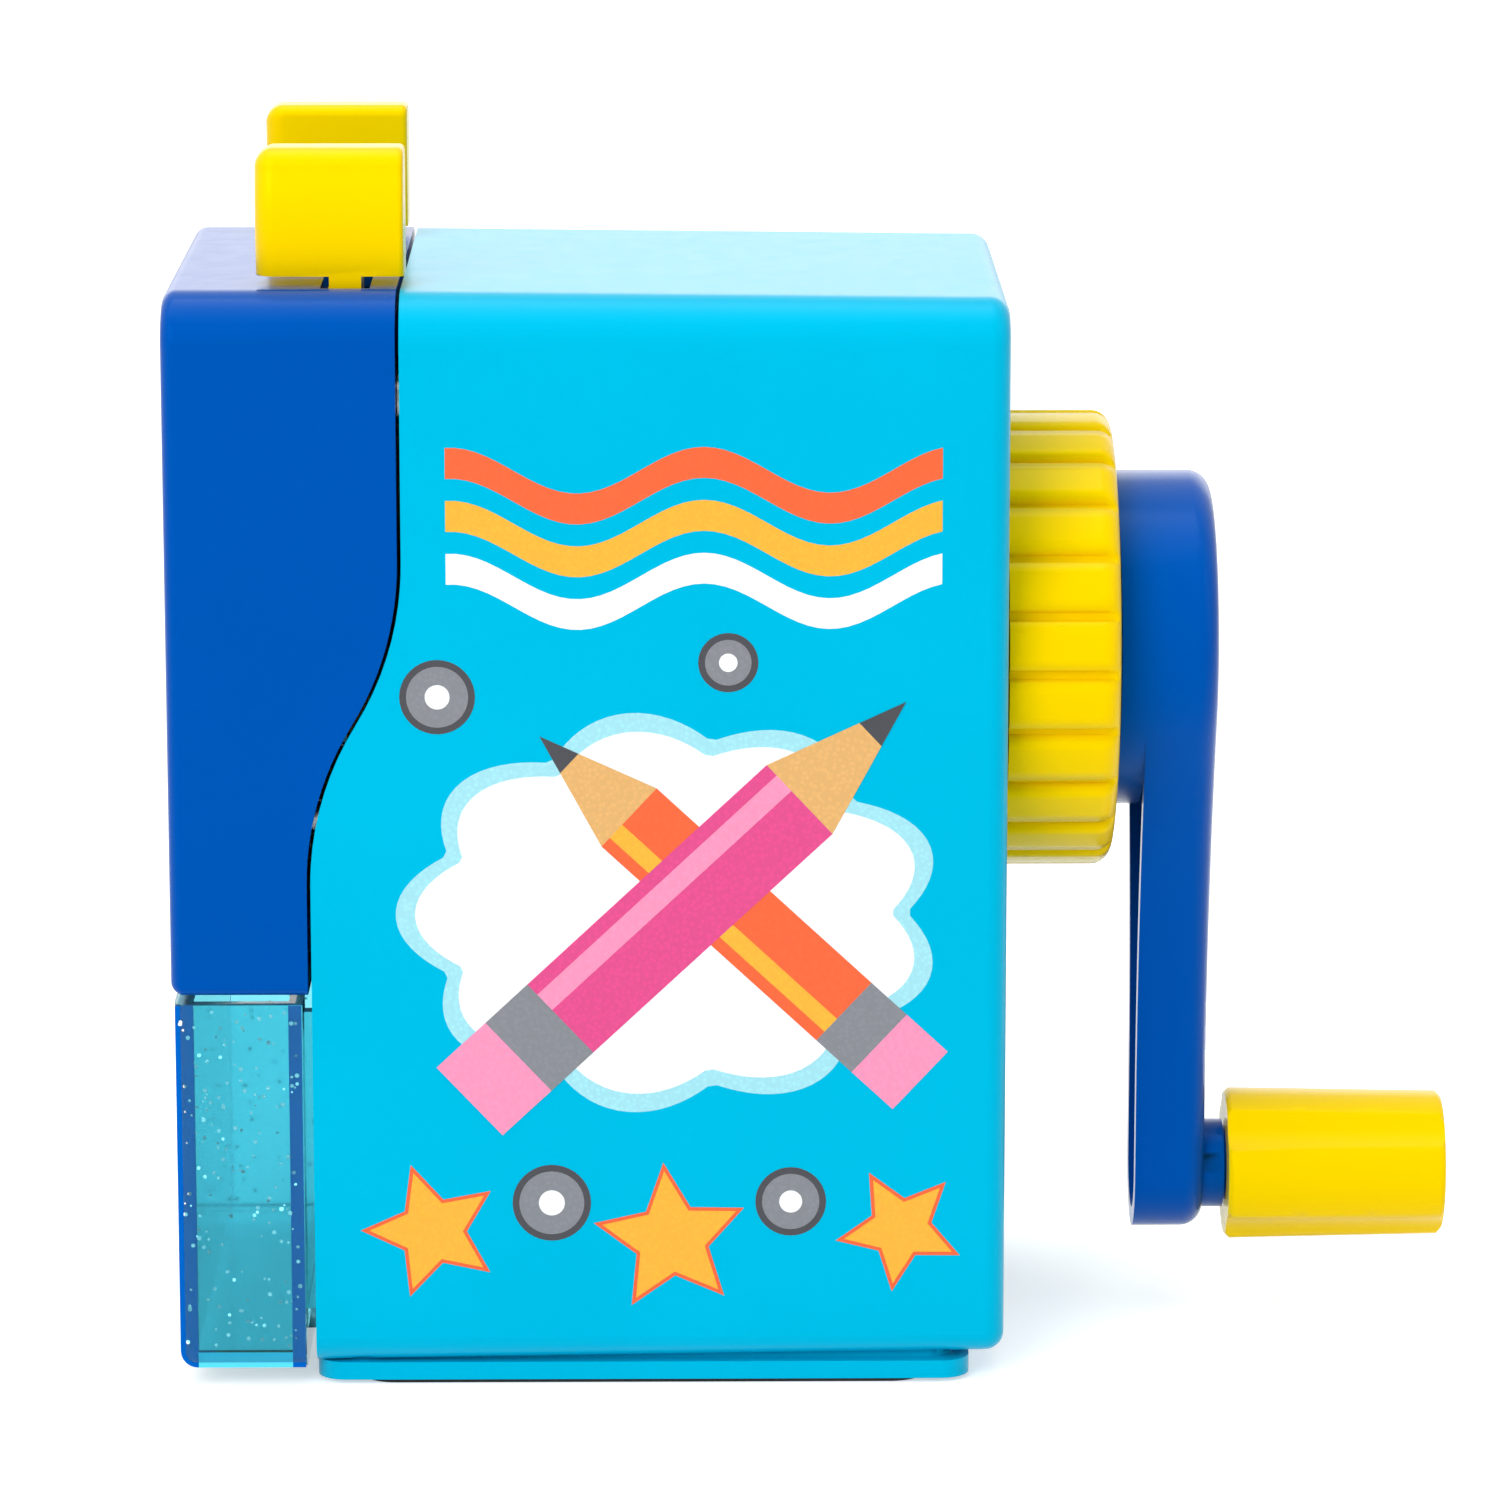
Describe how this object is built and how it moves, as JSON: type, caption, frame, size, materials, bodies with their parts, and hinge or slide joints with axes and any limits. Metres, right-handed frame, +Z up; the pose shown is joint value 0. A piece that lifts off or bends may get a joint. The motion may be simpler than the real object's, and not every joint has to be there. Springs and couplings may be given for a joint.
{
  "type": "crank pencil sharpener",
  "caption": "Table-top crank pencil sharpener with a spring-fed clamping carriage, geared helical cutter, twist-off rear cap and clear shavings drawer.",
  "frame": {"origin": "centre of the rubber pad's underside", "axes": "+X from the pencil entry to the crank, +Y to the far side, +Z up"},
  "size_m": [0.1357, 0.06, 0.1298],
  "materials": {
    "shell_blue": "gloss",
    "carriage_blue": "gloss",
    "yellow": "gloss",
    "clear_blue": "clear plastic with glitter",
    "black_rubber": "matte",
    "jaw_rubber": "matte",
    "frame_grey": "matte",
    "guide_white": "satin",
    "steel": "bright",
    "brass": "satin",
    "cast_metal": "cast"
  },
  "bodies": {
    "base": {"housing_shell": "shell_blue", "base_plate": "shell_blue", "base_pad": "black_rubber", "base_screws": "steel", "inner_frame": "frame_grey", "frame_screws": "steel", "pencil_guide": "guide_white"},
    "cap": {"rear_cap": "yellow", "ring_gear": "guide_white", "shaft_bush": "brass"},
    "crank": {"crank_arm": "carriage_blue", "crank_shaft": "steel", "crank_screw": "steel", "cutter_carrier": "cast_metal", "cutter_axle": "steel"},
    "cutter": {"helical_cutter": "steel", "cutter_pinion": "steel"},
    "grip": {"crank_grip": "yellow"},
    "carriage": {"front_carriage": "carriage_blue", "carriage_back": "frame_grey", "carriage_screws": "steel", "guide_rods": "steel", "rod_clips": "steel", "lever_pin": "steel", "feed_springs": "steel", "lever_spring": "steel"},
    "near_clamp": {"near_lever": "yellow", "near_jaw_pad": "jaw_rubber"},
    "far_clamp": {"far_lever": "yellow", "far_jaw_pad": "jaw_rubber"},
    "drawer": {"shavings_drawer": "clear_blue"}
  },
  "joints": [
    {"name": "cap_twist", "type": "hinge", "parent": "base", "child": "cap", "pos_m": [0.04, 0, 0.0745], "axis": [1, 0, 0], "range_deg": [0, 40]},
    {"name": "crank_turn", "type": "hinge", "parent": "cap", "child": "crank", "pos_m": [0.045, 0, 0.0745], "axis": [1, 0, 0], "continuous": true},
    {"name": "cutter_spin", "type": "hinge", "parent": "crank", "child": "cutter", "pos_m": [0.05669, 0, 0.0745], "axis": [0.9816, 0, -0.1908], "continuous": true},
    {"name": "grip_spin", "type": "hinge", "parent": "crank", "child": "grip", "pos_m": [0.07, 0, 0.0161], "axis": [1, 0, 0], "continuous": true},
    {"name": "carriage_pull", "type": "slide", "parent": "base", "child": "carriage", "axis": [-1, 0, 0], "range_m": [0, 0.036], "stiffness_N_per_m": 60, "springref_m": -0.03, "deforming": ["feed_springs"]},
    {"name": "near_squeeze", "type": "hinge", "parent": "carriage", "child": "near_clamp", "pos_m": [-0.03, 0, 0.0505], "axis": [-1, 0, 0], "range_deg": [0, 7.5], "stiffness_Nm_per_rad": 0.6, "springref_deg": -8.59, "deforming": ["lever_spring"]},
    {"name": "far_squeeze", "type": "hinge", "parent": "carriage", "child": "far_clamp", "pos_m": [-0.034, 0, 0.0505], "axis": [1, 0, 0], "range_deg": [0, 7.5]},
    {"name": "drawer_pull", "type": "slide", "parent": "base", "child": "drawer", "axis": [-1, 0, 0], "range_m": [0, 0.075]}
  ],
  "couplings": [
    {"joint": "cutter_spin", "follows": "crank_turn", "ratio": -1.9167},
    {"joint": "far_squeeze", "follows": "near_squeeze", "ratio": 1}
  ]
}
